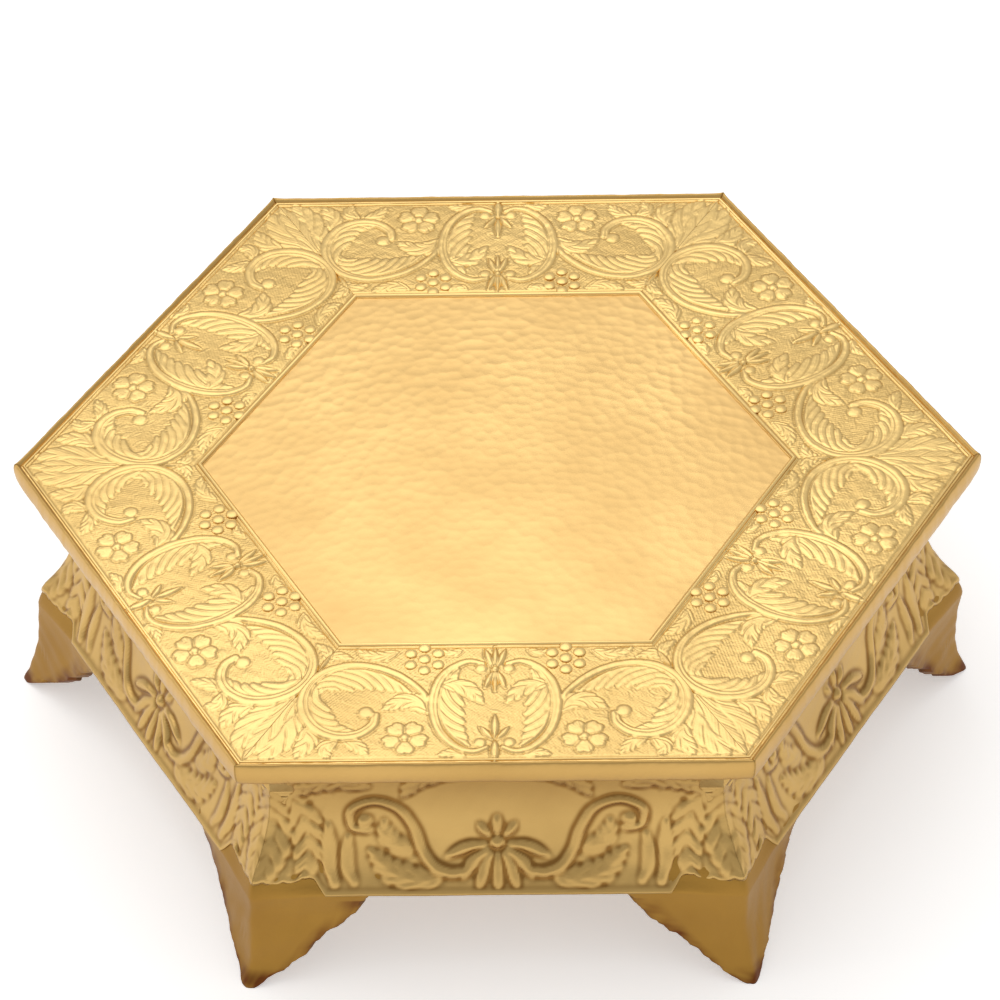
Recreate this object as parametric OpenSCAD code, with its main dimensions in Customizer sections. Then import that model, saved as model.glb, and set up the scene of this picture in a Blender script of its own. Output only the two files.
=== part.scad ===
// Low hexagonal tray table in sheet brass on six cast leaf feet.
// Z is up, the ground is z = 0, and the origin is on the ground under the middle of the top.
// Two opposite corners lie on the X axis, so two flat sides face +Y and -Y.

/* [Overall] */
// Width across two opposite corners of the rim
across_corners = 458; // [360:2:560]
// Height of the rim's top above the ground
height = 143; // [125:1:170]

/* [Top] */
// Thickness of the embossed top sheet
sheet_t = 1.2; // [0.8:0.1:1.6]
// Width across corners of the bead round the hammered centre
centre_across = 281; // [240:1:320]
// Radius of the raised beads on the top sheet
bead_r = 1.3; // [0.8:0.1:1.8]
// Depth of the hammered centre below the border
centre_drop = 0.5; // [0:0.1:0.8]
// Radius of the ring in the middle of each side of the border
medallion_r = 25; // [20:0.5:27]
// Radius of the scroll on each side of that ring
scroll_r = 17; // [12:0.5:19]
// Distance from the middle of a side to the middle of a scroll
scroll_offset = 62; // [54:0.5:66]
// Half width of a raised stem on the border
stem_r = 1.5; // [1:0.1:2]

/* [Rim] */
// Height of the rolled rim
rim_h = 12.5; // [10:0.5:16]
// How far the roll swells out past its lips
rim_swell = 3; // [2:0.1:5]
// Thickness of the rim's brass strip
rim_t = 1.2; // [0.8:0.1:1.6]
// Width of the rim's lower lip under the board
lower_lip = 9; // [6:0.5:14]

/* [Skirt] */
// Distance from the centre to the upright top part of a skirt panel
skirt_top = 177.5; // [176:0.5:180]
// Distance from the centre to the hem of a skirt panel
hem_out = 193; // [188:0.5:194]
// Height of the hem above the ground
hem_z = 52; // [46:1:56]
// Height at which the panel starts to flare
flare_z = 108; // [96:1:112]
// Thickness of a skirt panel
skirt_t = 1.2; // [0.8:0.1:1.6]
// Radius of the wired edge along the hem
hem_wire_r = 1.7; // [1.4:0.1:2]
// Width of the panel's flange under the board
flange_w = 14; // [12:0.5:18]
// Length of the scalloped lift of the hem beside each corner
lift_len = 42; // [34:1:48]
// Height of that lift at the corner
lift_h = 5; // [3:0.5:12]

/* [Feet] */
// How far the toe reaches out past the hem
toe_out = 8.5; // [4:0.5:12]
// Length of a foot's wing along the side, at the hem
wing_len = 58; // [50:1:64]
// Thickness of the cast wall
foot_t = 3.6; // [3:0.1:5]
// Length of the foot's upper tongue along the side
tongue_len = 36; // [30:1:46]
// Reach of the ear that is screwed to the board
ear_w = 17; // [15:0.5:22]
// Thickness of that ear
ear_t = 3.5; // [3:0.1:5]

/* [Screws] */
// Radius of the wood screws' shanks
screw_r = 1.75; // [1.5:0.05:2]
// Radius of the wood screws' heads
screw_head_r = 3.5; // [3:0.1:4]
// How deep a screw goes into the board
screw_grip = 6.5; // [4:0.5:8]
// Screws along each skirt flange
flange_screws_per_side = 3; // [2:1:4]
// Rim pins along each side
pins_per_side = 5; // [3:1:7]
// Radius of a rim pin
pin_r = 0.8; // [0.6:0.05:1]

/* [Hidden] */
$fn = 48;

brass_top = "#f0cf7c";
brass_rim = "#cfa95a";
brass_skirt = "#c39b53";
brass_cast = "#a87f42";
plywood = "#b08d62";
steel = "#b9b9b4";

slope = tan(30);
rim_out = across_corners / 2 * cos(30);
sheet_top = height - rim_t;
board_top = sheet_top - sheet_t;
board_bottom = height - rim_h + rim_t;
board_out = rim_out - rim_swell - rim_t;
sheet_out = board_out;
centre_in = centre_across / 2 * cos(30);
border_mid = (centre_in + sheet_out) / 2;
rim_roll_r = (pow(rim_swell, 2) + pow(rim_h / 2, 2)) / (2 * rim_swell);
edge_bead_in = rim_swell + 2.2;

flare_dx = hem_out - skirt_top;
flare_dz = flare_z - hem_z;
flare_r = (pow(flare_dx, 2) + pow(flare_dz, 2)) / (2 * flare_dx);
flare_centre = [skirt_top + flare_r, flare_z];

knee_half = hem_out * slope;
toe_at = hem_out + toe_out;
foot_in = skirt_top - skirt_t - ear_w;
wing_lap = 0.15;
screw_from_corner = 22;
screw_in = skirt_top - skirt_t - foot_t - screw_head_r - 1.4;
flange_screw_pitch = 38;
pin_pitch = 40;
ear_top = board_bottom - skirt_t;
curve_steps = 10;
cut = 1;
far = across_corners;

// A point on a cubic curve through a and d, pulled towards b and c.
function curve_point(a, b, c, d, s) =
    pow(1 - s, 3) * a + 3 * s * pow(1 - s, 2) * b + 3 * s * s * (1 - s) * c + pow(s, 3) * d;
function curve(a, b, c, d) =
    [for (i = [0:curve_steps]) curve_point(a, b, c, d, i / curve_steps)];

// The outer face of a foot below the hem, from the knee down to the toe.
function shank_face(inset) = curve(
    [hem_out + 0.6 - inset, hem_z + lift_h + 2],
    [hem_out + 1.8 - inset, hem_z - 14],
    [hem_out + 0.6 - inset, 22],
    [toe_at - inset * 1.3, 0]
);

module hexagon(out) {
    circle(r = out / cos(30), $fn = 6);
}

// One sixth of the plan, centred on +X, and wider than that by a lap at each corner.
module side_wedge(low, high, lap) {
    translate([0, 0, low])
        linear_extrude(high - low)
            polygon([[0, lap], [far, far * slope + lap], [far, -far * slope - lap], [0, -lap]]);
}

// Runs a section, drawn as [distance from the centre, height], along the side that faces +X.
module along_side() {
    rotate([90, 0, 0])
        translate([0, 0, -far / 2])
            linear_extrude(far)
                children();
}

// The same, mitred at both corners.
module mitred_side(lap = 0) {
    intersection() {
        along_side() children();
        side_wedge(-cut, height + 2 * cut, lap);
    }
}

// Turns a side that faces +X to its place: side 1 faces 30 degrees, and so on round.
module at_side(i) {
    rotate(60 * i - 30) children();
}

module all_sides() {
    for (i = [1:6]) at_side(i) children();
}

module raised_ring(r) {
    rotate_extrude($fn = 64)
        translate([r, 0])
            circle(stem_r);
}

// Middle ring and two scroll rings of one side of the border.
module side_ornament() {
    translate([border_mid, 0, sheet_top]) raised_ring(medallion_r);
    for (s = [-1, 1])
        translate([border_mid, s * scroll_offset, sheet_top]) raised_ring(scroll_r);
}

module top_sheet() {
    color(brass_top)
        difference() {
            union() {
                translate([0, 0, board_top])
                    linear_extrude(sheet_t)
                        hexagon(sheet_out);
                intersection() {
                    translate([0, 0, board_top])
                        linear_extrude(sheet_t + 2 * bead_r)
                            hexagon(sheet_out);
                    all_sides() {
                        mitred_side() translate([centre_in, sheet_top]) circle(bead_r);
                        mitred_side() translate([rim_out - edge_bead_in, sheet_top]) circle(bead_r * 0.6);
                        side_ornament();
                    }
                }
            }
            translate([0, 0, sheet_top - centre_drop])
                linear_extrude(centre_drop + 3 * bead_r)
                    hexagon(centre_in - bead_r);
        }
}

module board_holes() {
    flange_screw_places() cylinder(r = screw_r, h = screw_grip);
    foot_screw_places() cylinder(r = screw_r, h = screw_grip);
    pin_places() cylinder(r = pin_r, h = screw_grip);
}

module backing_board() {
    color(plywood)
        difference() {
            translate([0, 0, board_bottom])
                linear_extrude(board_top - board_bottom)
                    hexagon(board_out);
            board_holes();
        }
}

module rim_swelling(inset) {
    intersection() {
        translate([rim_out - rim_roll_r, height - rim_h / 2])
            circle(rim_roll_r - inset, $fn = 96);
        translate([0, height - rim_h + inset])
            square([far, rim_h - 2 * inset]);
    }
}

module rim_section() {
    difference() {
        rim_swelling(0);
        rim_swelling(rim_t);
        translate([-far, 0]) square([far + rim_out - rim_swell - lower_lip, 2 * far]);
        translate([-far, board_bottom]) square([far + board_out, board_top - board_bottom + sheet_t]);
        translate([-far, height - rim_t]) square([far + rim_out - rim_swell - rim_t, 2 * rim_t]);
    }
}

module rim_length() {
    color(brass_rim)
        difference() {
            mitred_side() rim_section();
            side_pins() cylinder(r = pin_r, h = 4 * rim_t, center = true);
        }
}

// The flared face of a skirt panel, as a strip from one radius to another behind it.
module flare_strip(r_front, r_back, low) {
    intersection() {
        translate(flare_centre)
            difference() {
                circle(r_back, $fn = 180);
                circle(r_front, $fn = 180);
            }
        translate([0, low])
            square([hem_out + toe_out, flare_z - low]);
    }
}

module skirt_section() {
    translate([skirt_top - skirt_t - flange_w, ear_top])
        square([skirt_t + flange_w, skirt_t]);
    translate([skirt_top - skirt_t, flare_z])
        square([skirt_t, board_bottom - flare_z]);
    flare_strip(flare_r, flare_r + skirt_t, hem_z);
    translate([hem_out - hem_wire_r, hem_z + hem_wire_r])
        circle(hem_wire_r);
}

// Outline of the hem, lifted beside the corners so that the feet show below it.
module hem_lift() {
    for (s = [-1, 1])
        scale([s, 1])
            polygon(concat(
                [[knee_half + lift_len, hem_z - cut], [knee_half + lift_len, hem_z + lift_h + cut]],
                curve(
                    [knee_half, hem_z + lift_h],
                    [knee_half - lift_len * 0.4, hem_z + lift_h * 0.6],
                    [knee_half - lift_len * 0.8, hem_z],
                    [knee_half - lift_len, hem_z - cut]
                )
            ));
}

module skirt_panel() {
    color(brass_skirt)
        difference() {
            mitred_side() skirt_section();
            rotate([90, 0, 90])
                linear_extrude(far)
                    hem_lift();
            side_flange_screws() cylinder(r = screw_r, h = 4 * skirt_t, center = true);
            corner_screws_on_side() cylinder(r = screw_r, h = 4 * skirt_t, center = true);
        }
}

// Section of one wing of a foot: the shank, the tongue inside the skirt and the ear.
module wing_section() {
    polygon(concat(shank_face(0), [for (i = [curve_steps:-1:0]) shank_face(foot_t)[i]]));
    flare_strip(flare_r + skirt_t, flare_r + skirt_t + foot_t, hem_z - 2);
    translate([skirt_top - skirt_t - foot_t, flare_z])
        square([foot_t, ear_top - flare_z]);
    translate([foot_in, ear_top - ear_t])
        square([ear_w, ear_t]);
}

// Outline of a wing seen square on, as [distance from the corner, height].
module wing_outline() {
    polygon(concat(
        [[-wing_len, height], [-wing_len, 0]],
        curve([4, 0], [16, 16], [wing_len - 18, 26], [wing_len, hem_z + 2]),
        [[wing_len, hem_z + lift_h], [tongue_len, hem_z + 3 * lift_h], [tongue_len, height]]
    ));
}

// The wing on the side that faces +30 degrees, with its corner on the X axis.
module foot_wing() {
    difference() {
        rotate(30)
            intersection() {
                mitred_side(wing_lap) wing_section();
                translate([0, -knee_half, 0])
                    rotate([90, 0, 90])
                        linear_extrude(far)
                            wing_outline();
            }
        side_skirt_clearance();
    }
}

// Keeps the shank inside the skirt where the two overlap in height.
module side_skirt_clearance() {
    rotate(30)
        difference() {
            mitred_side()
                intersection() {
                    translate(flare_centre) circle(flare_r + skirt_t, $fn = 180);
                    translate([0, hem_z]) square([far, flare_z - hem_z]);
                }
            rotate([90, 0, 90])
                linear_extrude(far)
                    hem_lift();
        }
}

module corner_foot() {
    color(brass_cast)
        difference() {
            union() {
                foot_wing();
                mirror([0, 1, 0]) foot_wing();
            }
            corner_screws() cylinder(r = screw_r, h = 6 * ear_t, center = true);
        }
}

// Two screw places in the ears of the foot on the X axis, at the ear's top.
module corner_screws() {
    for (s = [0, 1])
        mirror([0, s, 0])
            rotate(30)
                translate([screw_in, screw_from_corner - knee_half, ear_top])
                    children();
}

// The screws of both neighbouring feet that pass through the side facing +X.
module corner_screws_on_side() {
    for (s = [-1, 1])
        translate([screw_in, s * (screw_from_corner - knee_half), ear_top])
            children();
}

module side_flange_screws() {
    for (i = [1:flange_screws_per_side])
        translate([
            skirt_top - skirt_t - flange_w / 2,
            (i - (flange_screws_per_side + 1) / 2) * flange_screw_pitch,
            ear_top
        ])
            children();
}

module side_pins() {
    for (i = [1:pins_per_side])
        translate([
            rim_out - rim_swell - lower_lip / 2 - 1,
            (i - (pins_per_side + 1) / 2) * pin_pitch,
            height - rim_h
        ])
            children();
}

module flange_screw_places() {
    all_sides() side_flange_screws() translate([0, 0, skirt_t]) children();
}

module foot_screw_places() {
    for (i = [1:6]) rotate(60 * i) corner_screws() translate([0, 0, skirt_t]) children();
}

module pin_places() {
    all_sides() side_pins() translate([0, 0, rim_t]) children();
}

// A round-headed wood screw whose head bears at z = -under, driven up into the board.
module wood_screw(under) {
    translate([0, 0, -under])
        cylinder(r = screw_r, h = under + screw_grip);
    translate([0, 0, -under])
        rotate([180, 0, 0])
            difference() {
                cylinder(r1 = screw_head_r, r2 = screw_head_r * 0.6, h = 2);
                translate([-screw_head_r, -0.4, 1.2])
                    cube([2 * screw_head_r, 0.8, 2]);
            }
}

module foot_screws() {
    color(steel) foot_screw_places() wood_screw(skirt_t + ear_t);
}

module flange_screws() {
    color(steel) flange_screw_places() wood_screw(skirt_t);
}

module rim_pins() {
    color(steel)
        pin_places() {
            translate([0, 0, -rim_t]) cylinder(r = pin_r, h = rim_t + screw_grip);
            translate([0, 0, -rim_t - 0.6]) cylinder(r = 2 * pin_r, h = 0.6);
        }
}

top_sheet();
backing_board();
for (i = [1:6]) {
    at_side(i) rim_length();
    at_side(i) skirt_panel();
    rotate(60 * i) corner_foot();
}
foot_screws();
flange_screws();
rim_pins();
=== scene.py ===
"""Low hexagonal tray table in embossed brass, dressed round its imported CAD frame.

Lengths inside this file are in millimetres until a mesh is made, and the mesh is in metres.
A flat side of the hexagon is worked in its own frame: t runs along the side from its middle, and
r or z is the distance out from the centre or the height above the ground.
"""

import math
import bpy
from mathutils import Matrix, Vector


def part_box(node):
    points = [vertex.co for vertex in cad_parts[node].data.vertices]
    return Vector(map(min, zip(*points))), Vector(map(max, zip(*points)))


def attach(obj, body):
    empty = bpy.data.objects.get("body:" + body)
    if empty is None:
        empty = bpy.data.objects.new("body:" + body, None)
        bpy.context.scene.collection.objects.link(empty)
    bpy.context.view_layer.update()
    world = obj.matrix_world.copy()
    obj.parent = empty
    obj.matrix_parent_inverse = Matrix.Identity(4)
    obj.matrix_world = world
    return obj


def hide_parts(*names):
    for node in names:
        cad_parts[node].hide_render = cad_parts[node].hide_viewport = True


bl_info = {
    "name": "Embossed Tray Table",
    "version": (1, 0, 0),
    "blender": (4, 5, 0),
    "location": "3D View > Sidebar > Tray Table",
    "description": "Dresses a hexagonal brass tray table with its chased, hammered and cast surfaces",
    "category": "Add Mesh",
}

import bmesh
import bpy
import numpy as np
from mathutils import Matrix, Vector

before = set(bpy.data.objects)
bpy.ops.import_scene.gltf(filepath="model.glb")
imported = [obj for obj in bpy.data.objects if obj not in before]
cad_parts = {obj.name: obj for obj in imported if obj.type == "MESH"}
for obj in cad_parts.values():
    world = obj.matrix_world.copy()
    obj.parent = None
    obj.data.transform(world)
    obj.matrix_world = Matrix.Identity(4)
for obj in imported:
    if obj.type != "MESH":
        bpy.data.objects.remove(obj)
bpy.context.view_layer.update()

MM = 0.001
SIDES = range(1, 7)
SLOPE = math.tan(math.radians(30))
COS30 = math.cos(math.radians(30))


def span(node, axis):
    """Lowest and highest millimetre of a CAD node along an axis."""
    low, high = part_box(node)
    return low[axis] / MM, high[axis] / MM


# Thickness of the top sheet and of a skirt panel
SHEET_T = 1.2
SKIRT_T = 1.2

# Sizes read from the frame. Side 2 faces +Y and foot 6 stands on +X.
TOP = span("rim_length_2", 2)[1]
RIM_OUT = span("rim_length_2", 1)[1]
HEM_OUT = span("skirt_panel_2", 1)[1]
HEM_Z, SKIRT_TOP_Z = span("skirt_panel_2", 2)
SHEET_Z = span("backing_board", 2)[1] + SHEET_T
TOE_OUT = span("corner_foot_6", 0)[1] * COS30
EAR_TOP_Z = span("corner_foot_6", 2)[1]

# The cove of the skirt: upright above FLARE_Z, then an arc out to the hem.
UPRIGHT_OUT = HEM_OUT - 15.5
FLARE_Z = HEM_Z + 56.0
FLARE_DX = HEM_OUT - UPRIGHT_OUT
FLARE_DZ = FLARE_Z - HEM_Z
FLARE_R = (FLARE_DX**2 + FLARE_DZ**2) / (2 * FLARE_DX)

# Rings of the top: where the border starts, its inner bead, its end and its edge bead
BORDER_IN = 120.2
BEAD_AT = 121.7
BORDER_END = RIM_OUT - 2.7
EDGE_BEAD_AT = RIM_OUT - 4.6


# ---------------------------------------------------------------- settings


def size_setting(name, text, default_mm):
    """A length, whose default is given in millimetres."""
    kind = {"min": 0.0, "precision": 5, "subtype": "DISTANCE", "unit": "LENGTH"}
    return bpy.props.FloatProperty(name=name, description=text, default=default_mm * MM, **kind)


def colour_setting(name, text, hex_code):
    """A colour, whose default is given as sRGB hex."""
    kind = {"subtype": "COLOR", "size": 3, "min": 0.0, "max": 1.0}
    return bpy.props.FloatVectorProperty(name=name, description=text, default=linear(hex_code)[:3], **kind)


def linear(hex_code):
    """An sRGB hex colour as linear red, green, blue and alpha."""
    parts = [int(hex_code[i : i + 2], 16) / 255 for i in (1, 3, 5)]
    return tuple(p / 12.92 if p <= 0.04045 else ((p + 0.055) / 1.055) ** 2.4 for p in parts) + (1.0,)


class TrayTableSizes(bpy.types.PropertyGroup):
    """Sizes a maker would change."""

    relief: bpy.props.FloatProperty(
        name="Relief", description="Scale of the raised work's height", default=1.0, min=0.0, max=2.0
    )
    border_step: size_setting("Border step", "Mesh step on the chased border", 0.45)
    skirt_step: size_setting("Skirt step", "Mesh step on the skirt panels", 0.78)
    mark_width: size_setting("Hammer mark width", "Width of one hammer mark", 5.6)
    mark_depth: size_setting("Hammer mark depth", "Depth of one hammer mark", 0.085)
    berry_radius: size_setting("Berry radius", "Radius of a berry on the border", 2.9)
    bead_radius: size_setting("Bead radius", "Radius of the bead round the centre", 1.25)
    cast_wall: size_setting("Cast wall", "Wall of a cast foot", 3.6)


class TrayTableColours(bpy.types.PropertyGroup):
    """Colours a maker would change."""

    tray: colour_setting("Tray", "Lacquered brass of the tray", "#FAD088")
    border: colour_setting("Border", "Lacquered brass of the chased border", "#FFDA8F")
    # The darker colour for the tray's random tone, and for painted shade in its chased lines and on the rim
    tray_shade: colour_setting("Tray recess", "Chased lines of the tray", "#AC8440")
    rim: colour_setting("Rim", "Lacquered brass of the rim", "#CCA562")
    skirt: colour_setting("Skirt", "Lacquered brass of the skirt", "#C9A564")
    # The darker colour for the skirt's random tone, and for painted shade in its hollows and under the rim
    skirt_shade: colour_setting("Skirt recess", "Hollows of the skirt", "#8A6431")
    cast: colour_setting("Cast foot", "Lacquered cast brass", "#A67E3A")
    bare_cast: colour_setting("Bare cast edge", "Red metal showing at the feet's edges", "#6E3F1E")


# ---------------------------------------------------------------- small helpers


def add_node(tree, kind, feeds=None, **settings):
    """Adds a node, sets its settings, and links or fills each named or numbered input."""
    node = tree.nodes.new(kind)
    for name, value in settings.items():
        setattr(node, name, value)
    for key, value in (feeds or {}).items():
        socket = node.inputs[key]
        if isinstance(value, bpy.types.NodeSocket):
            tree.links.new(value, socket)
        else:
            socket.default_value = value
    return node


def mesh_object(name, points, faces, material, smooth=True):
    """A new object from points in millimetres, sitting at the origin."""
    mesh = bpy.data.meshes.new(name)
    mesh.from_pydata((np.asarray(points) * MM).tolist(), [], faces)
    mesh.materials.append(material)
    if smooth:
        mesh.polygons.foreach_set("use_smooth", [True] * len(mesh.polygons))
    mesh.update()
    obj = bpy.data.objects.new(name, mesh)
    bpy.context.collection.objects.link(obj)
    return obj


def store(obj, name, values):
    """Keeps one number per vertex on the mesh, for its material to read."""
    layer = obj.data.attributes.new(name, "FLOAT", "POINT")
    layer.data.foreach_set("value", np.asarray(values, np.float32).ravel())


def turned(points, degrees):
    """Points turned about the vertical axis."""
    a = math.radians(degrees)
    spin = np.array([[math.cos(a), math.sin(a), 0], [-math.sin(a), math.cos(a), 0], [0, 0, 1]])
    return points @ spin


def side_angle(i):
    """The direction that side i faces, in degrees from +X."""
    return 60 * i - 30


def hexagon(out):
    """Corners of a hexagon whose flat sides lie this far out, from the corner on +X."""
    turns = [math.radians(60 * k) for k in range(6)]
    return [(out / COS30 * math.cos(a), out / COS30 * math.sin(a)) for a in turns]


def grid_faces(rows, columns, start=0, flip=False):
    """Quads over a grid of rows and columns of points."""
    k = np.arange(rows * columns).reshape(rows, columns) + start
    quads = np.stack([k[:-1, :-1], k[:-1, 1:], k[1:, 1:], k[1:, :-1]], -1).reshape(-1, 4)
    return (quads[:, ::-1] if flip else quads).tolist()


def grid_edge(rows, columns):
    """The grid's outer loop of point numbers, in order."""
    k = np.arange(rows * columns).reshape(rows, columns)
    return np.concatenate([k[0, :-1], k[:-1, -1], k[-1, :0:-1], k[:0:-1, 0]])


def closed_slab(outer, inner):
    """Points and faces of a sheet between two grids of the same size, with its edge closed."""
    rows, columns = outer.shape[:2]
    count = rows * columns
    points = np.concatenate([outer.reshape(-1, 3), inner.reshape(-1, 3)])
    loop = grid_edge(rows, columns)
    after = np.roll(loop, -1)
    wall = np.stack([after, loop, loop + count, after + count], -1).tolist()
    faces = grid_faces(rows, columns) + grid_faces(rows, columns, count, True) + wall
    return points, faces


def thin_backed_slab(outer, inner):
    """The same, but the inner skin is straight across, so it only keeps its end columns and end rows."""
    rows, columns = outer.shape[:2]
    count = rows * columns
    inner = inner.reshape(-1, 3)
    kept = sorted(set(grid_edge(rows, columns).tolist()))
    number = {old: count + new for new, old in enumerate(kept)}
    points = np.concatenate([outer.reshape(-1, 3), inner[kept]])
    loop = grid_edge(rows, columns)
    after = np.roll(loop, -1)
    wall = [[b, a, number[a], number[b]] for a, b in zip(loop.tolist(), after.tolist())]
    skin = []
    for row in range(rows - 1):
        low = row * columns + np.arange(columns) if row == 0 else [row * columns, (row + 1) * columns - 1]
        high = (row + 1) * columns + (np.arange(columns) if row == rows - 2 else np.array([0, columns - 1]))
        skin.append([number[k] for k in [*low, *high[::-1]]])
    return points, grid_faces(rows, columns) + wall + skin


def unit(x):
    """Numbers held between 0 and 1."""
    return np.clip(x, 0, 1)


def eased(x):
    """A smooth step up from 0 to 1."""
    x = unit(x)
    return x * x * (3 - 2 * x)


def bell(x, width):
    """A smooth bump: 1 at 0, and nearly gone at twice the width."""
    return np.exp(-((x / width) ** 2))


def dome(x):
    """A round profile: 1 at 0, and 0 from 1 on."""
    return np.sqrt(unit(1 - x**2))


def lump(seed, scale, *axes):
    """Smooth seeded unevenness, about one high, from a few sine waves over the given axes."""
    rng = np.random.default_rng(seed)
    total = 0
    for octave in range(5):
        turn = rng.normal(size=len(axes))
        turn *= (1.7**octave) / (scale * np.linalg.norm(turn))
        phase = sum(a * k for a, k in zip(axes, turn)) * 6.28 + rng.uniform(0, 6.28)
        total = total + np.sin(phase) / 1.4**octave
    return total / 2.2


# ---------------------------------------------------------------- chased relief


def smooth_path(points, steps=8):
    """A smooth curve through a few points."""
    p = np.asarray(points, float)
    p = np.vstack([2 * p[0] - p[1], p, 2 * p[-1] - p[-2]])
    out = []
    for i in range(1, len(p) - 2):
        a, b, c, d = p[i - 1 : i + 3]
        bend, twist = 2 * a - 5 * b + 4 * c - d, 3 * b - a - 3 * c + d
        for s in np.arange(steps) / steps:
            out.append(0.5 * (2 * b + (c - a) * s + bend * s**2 + twist * s**3))
    out.append(p[-2])
    return np.array(out)


def spot(centre):
    """A path so short that it is a point."""
    return np.array([centre, (centre[0] + 0.01, centre[1])], float)


class Relief:
    """Height of raised work over a side. Strokes laid later lie over the earlier ones."""

    def __init__(self, u, v, ground, comb):
        """Starts from the ground's height over (u, v). Comb is the spacing of the finest lines."""
        self.u, self.v, self.h = u.ravel(), v.ravel(), ground.ravel().copy()
        self.comb = comb
        self.plain = np.ones(self.h.size)

    def near(self, path, reach):
        """Points within reach of a path, as their numbers, distance from it, and share of its length.

        Then its length, and 1 for a point left of it or -1 for one right of it.
        """
        low, high = path.min(0) - reach, path.max(0) + reach
        at = np.nonzero((self.u > low[0]) & (self.u < high[0]) & (self.v > low[1]) & (self.v < high[1]))[0]
        u, v = self.u[at], self.v[at]
        steps = np.diff(path, axis=0)
        lengths = np.hypot(*steps.T)
        start = np.concatenate([[0], np.cumsum(lengths)])
        best, share, left = np.full(at.size, 1e9), np.zeros(at.size), np.ones(at.size)
        for (a, b), (du, dv), n, s in zip(path[:-1], steps, lengths, start):
            k = unit(((u - a) * du + (v - b) * dv) / (n * n))
            d = np.hypot(u - a - k * du, v - b - k * dv)
            closer = d < best
            best = np.where(closer, d, best)
            share = np.where(closer, (s + k * n) / start[-1], share)
            left = np.where(closer, np.sign(du * (v - b) - dv * (u - a)), left)
        return at, best, share, start[-1], left

    def lay(self, at, inside, height, groove):
        """Sets the height inside a shape, and chases a line round it. Inside is in mm from its edge."""
        m = eased(inside / 0.6 + 0.5)
        self.h[at] = self.h[at] * (1 - m) + height * m
        self.h[at] -= groove * bell(inside + 0.45, 0.42)
        self.plain[at] = np.minimum(self.plain[at], unit(-inside / 0.8))

    def stem(self, points, widths, height=0.8, groove=0.3, furrow=0.0):
        """A round raised stem. Its half width goes through the widths, and its furrow lies on the left."""
        path = smooth_path(points)
        at, d, s, _, left = self.near(path, max(widths) + 2)
        w = np.interp(s, np.linspace(0, 1, len(widths)), widths)
        z = height * np.sqrt(unit(1 - unit(d / w) ** 3))
        z -= furrow * bell(d * left - 0.35 * w, 0.42) * unit(w - 1.4)
        self.lay(at, w - d, z, groove)

    def lens(self, a, b, width, height=0.75, groove=0.35):
        """A pointed bud or petal from a to b."""
        path = np.array([a, b], float)
        path = path[0] + (path[1] - path[0]) * np.linspace(0, 1, 9)[:, None]
        at, d, s, *_ = self.near(path, width + 2)
        w = width * np.sin(np.pi * np.clip(s, 0.02, 0.98) ** 0.9) ** 0.8
        z = height * dome(d / np.maximum(w, 0.1))
        self.lay(at, w - d, z, groove)

    def knob(self, centre, radius, height=1.0, groove=0.35):
        at, d, *_ = self.near(spot(centre), radius + 2)
        z = height * dome(d / radius)
        self.lay(at, radius - d, z, groove)

    def leaf(self, points, width, lobes, height=0.5, lean=2.4, side=0, cut=0.3):
        """An acanthus leaf: strokes that leave its spine almost along it and sweep out to pointed lobes.

        It grows on the left of its spine if side is 1, on the right if side is -1, and else on both.
        """
        path = smooth_path(points)
        at, d, s, length, left = self.near(path, width + 2)
        share = np.clip(d / width, 0.02, 1)
        sweep = lobes * (s - lean * width * share**0.8 / length)
        # The strokes' own width is less than their spacing along the spine, by how far they lean
        across = length / lobes / np.sqrt(1 + (0.8 * lean / share**0.2) ** 2)
        notch = np.abs(sweep - np.round(sweep)) * across
        tooth = np.abs(np.sin(np.pi * sweep)) ** 0.6
        w = width * np.sin(np.pi * np.clip(s, 0.01, 0.99) ** 0.85) ** 0.55 * (1 - cut + cut * tooth)
        if side:
            w = np.where(left == side, w, 0.2)
        x = unit(d / np.maximum(w, 0.1))
        inner = unit(x * 6 - 0.4)
        z = height * (0.3 + 0.7 * np.sqrt(1 - x**4)) * (1 - 0.25 * (1 - tooth))
        z -= 0.5 * height * bell(notch, 0.27 * self.comb) * inner
        lines = max(2, round(length / lobes / math.hypot(1, lean) / self.comb))
        line = np.abs(sweep * lines - np.round(sweep * lines)) * across / lines
        z -= 0.42 * height * bell(line, 0.22 * self.comb) * inner
        z -= 0.3 * height * bell(d, 0.35 * self.comb) * (1 - s) * (side == 0)
        self.lay(at, w - d, z, 0.45 * height)

    def flower(self, centre, radius, turn, petals=5):
        """An open flower: plump heart-shaped petals with radial lines, round a bead."""
        at, d, *_ = self.near(spot(centre), radius + 2)
        angle = np.arctan2(self.v[at] - centre[1], self.u[at] - centre[0]) - math.radians(turn)
        step = 2 * np.pi / petals
        a = np.abs((angle + step / 2) % step - step / 2) / (step / 2)
        edge = radius * (0.92 + 0.08 * np.sin(np.pi * np.minimum(a * 1.5, 1))) * (1 - 0.3 * a**5)
        x = unit(d / edge)
        z = 0.7 * np.sqrt(unit(1 - (x * 1.7 - 0.85) ** 4)) * (1 - 0.3 * a**2)
        z -= 0.22 * unit(np.cos(angle * petals * 8)) ** 2 * unit(d / 4 - 0.5)
        z -= 0.5 * bell((1 - a) * d * step / 2, 0.5) * unit(d / 3)
        self.lay(at, edge - d, z, 0.3)
        self.knob(centre, radius * 0.21, 1.0, 0.4)

    def painted_shade(self, shape):
        """How far each point lies below its surroundings, from 0 to 1: the chased lines, used as a mask of
        painted shade.
        """
        h = self.h.reshape(shape)
        soft = h.copy()
        for axis in (0, 1):
            padded = np.concatenate([soft.take([0] * 3, axis), soft, soft.take([-1] * 3, axis)], axis)
            soft = sum(np.take(padded, range(k, k + h.shape[axis]), axis) for k in range(7)) / 7
        return unit((soft - h) / 0.35).ravel()


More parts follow.
